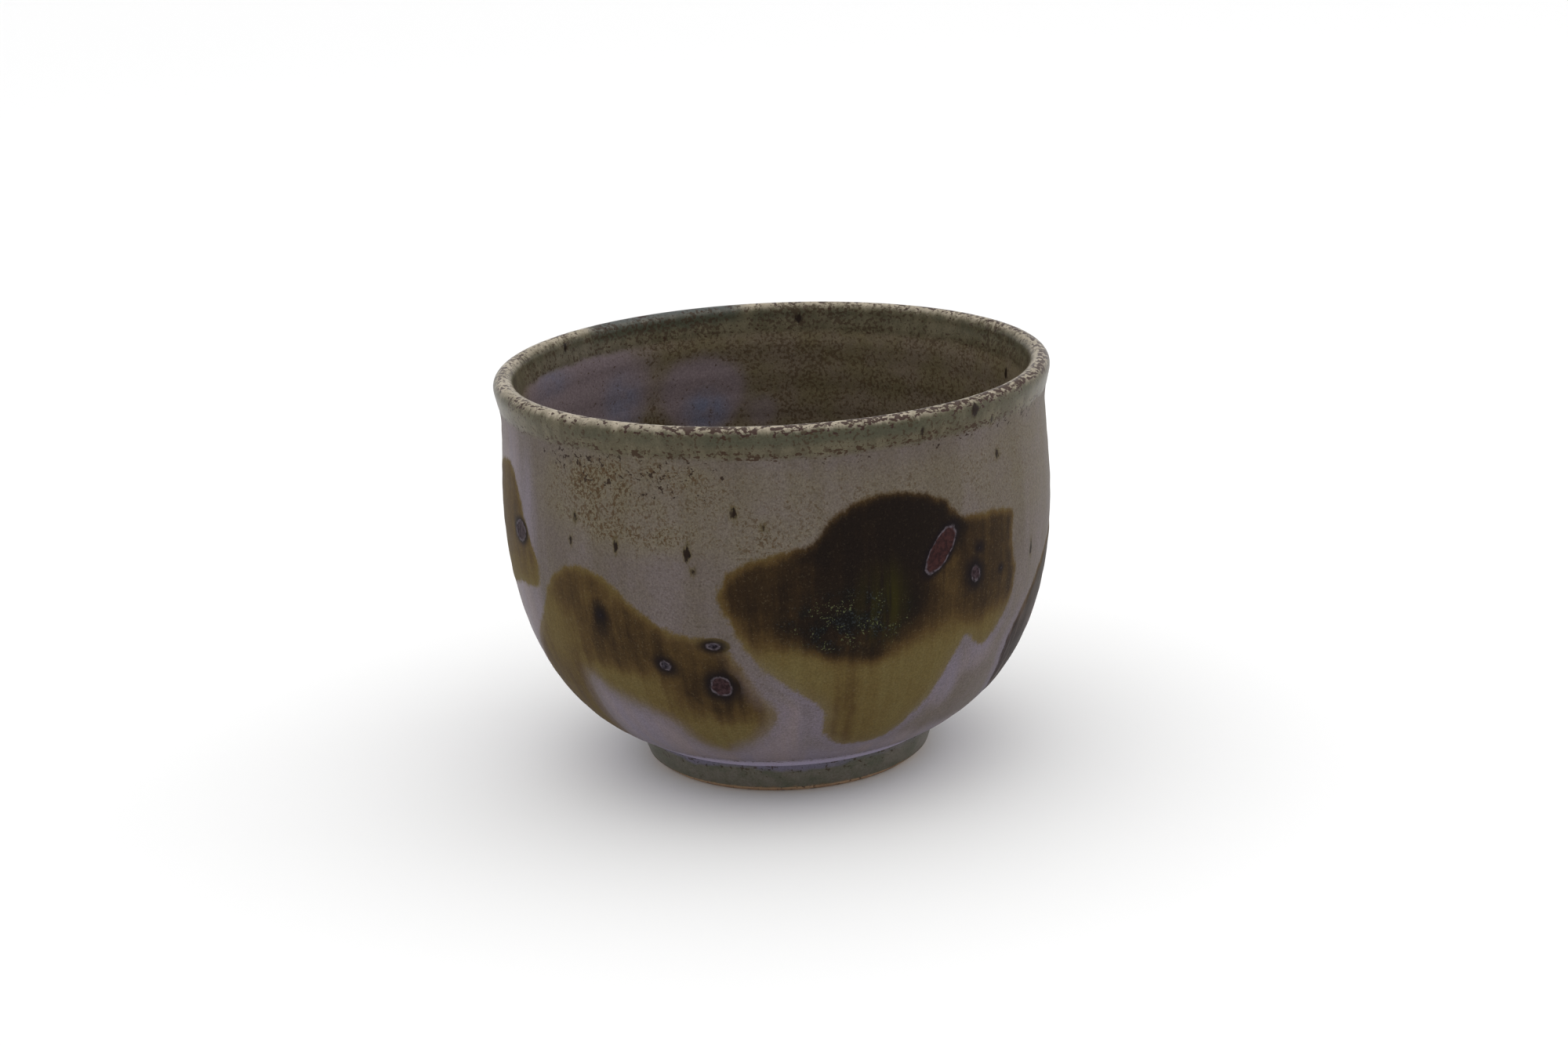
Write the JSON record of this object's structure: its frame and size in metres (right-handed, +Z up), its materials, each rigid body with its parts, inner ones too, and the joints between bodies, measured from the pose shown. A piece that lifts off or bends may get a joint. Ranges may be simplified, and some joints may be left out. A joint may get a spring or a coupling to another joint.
{
  "type": "matcha bowl",
  "caption": "Deep round stoneware tea bowl with upright walls, a rounded lip, a raised foot ring, a dipped rim glaze and dark iron glaze splashes.",
  "frame": {"origin": "on the table, under the centre of the foot ring", "axes": "+Z up along the bowl's axis, -Y towards the front with the largest iron splashes, +X to the right of someone who faces the front"},
  "size_m": [0.1184, 0.1184, 0.087],
  "materials": {
    "clay": "bare tan stoneware, wiped clean, with fine grog and iron specks",
    "lavender_glaze": "satin grey-lavender glaze with tan speckle and dark iron spots",
    "celadon_glaze": "glossy olive celadon with a paler crest and brown specks",
    "liner_glaze": "glossy olive-brown liner clouded with lavender",
    "moss_glaze": "glossy thin moss green with rusty dots",
    "iron_glaze": "glossy near-black iron brown breaking to khaki where it ran"
  },
  "bodies": {
    "root": {"clay_bowl": "clay", "foot_ring": "clay", "outside_glaze": "lavender_glaze", "rim_glaze": "celadon_glaze", "inside_glaze": "liner_glaze", "foot_glaze": "moss_glaze", "foot_well_glaze": "moss_glaze", "iron_splash_right": "iron_glaze", "iron_splash_left": "iron_glaze", "iron_splash_far_left": "iron_glaze", "iron_splash_far_right": "iron_glaze", "iron_splash_back_left": "iron_glaze", "iron_splash_back_right": "iron_glaze"}
  },
  "joints": []
}
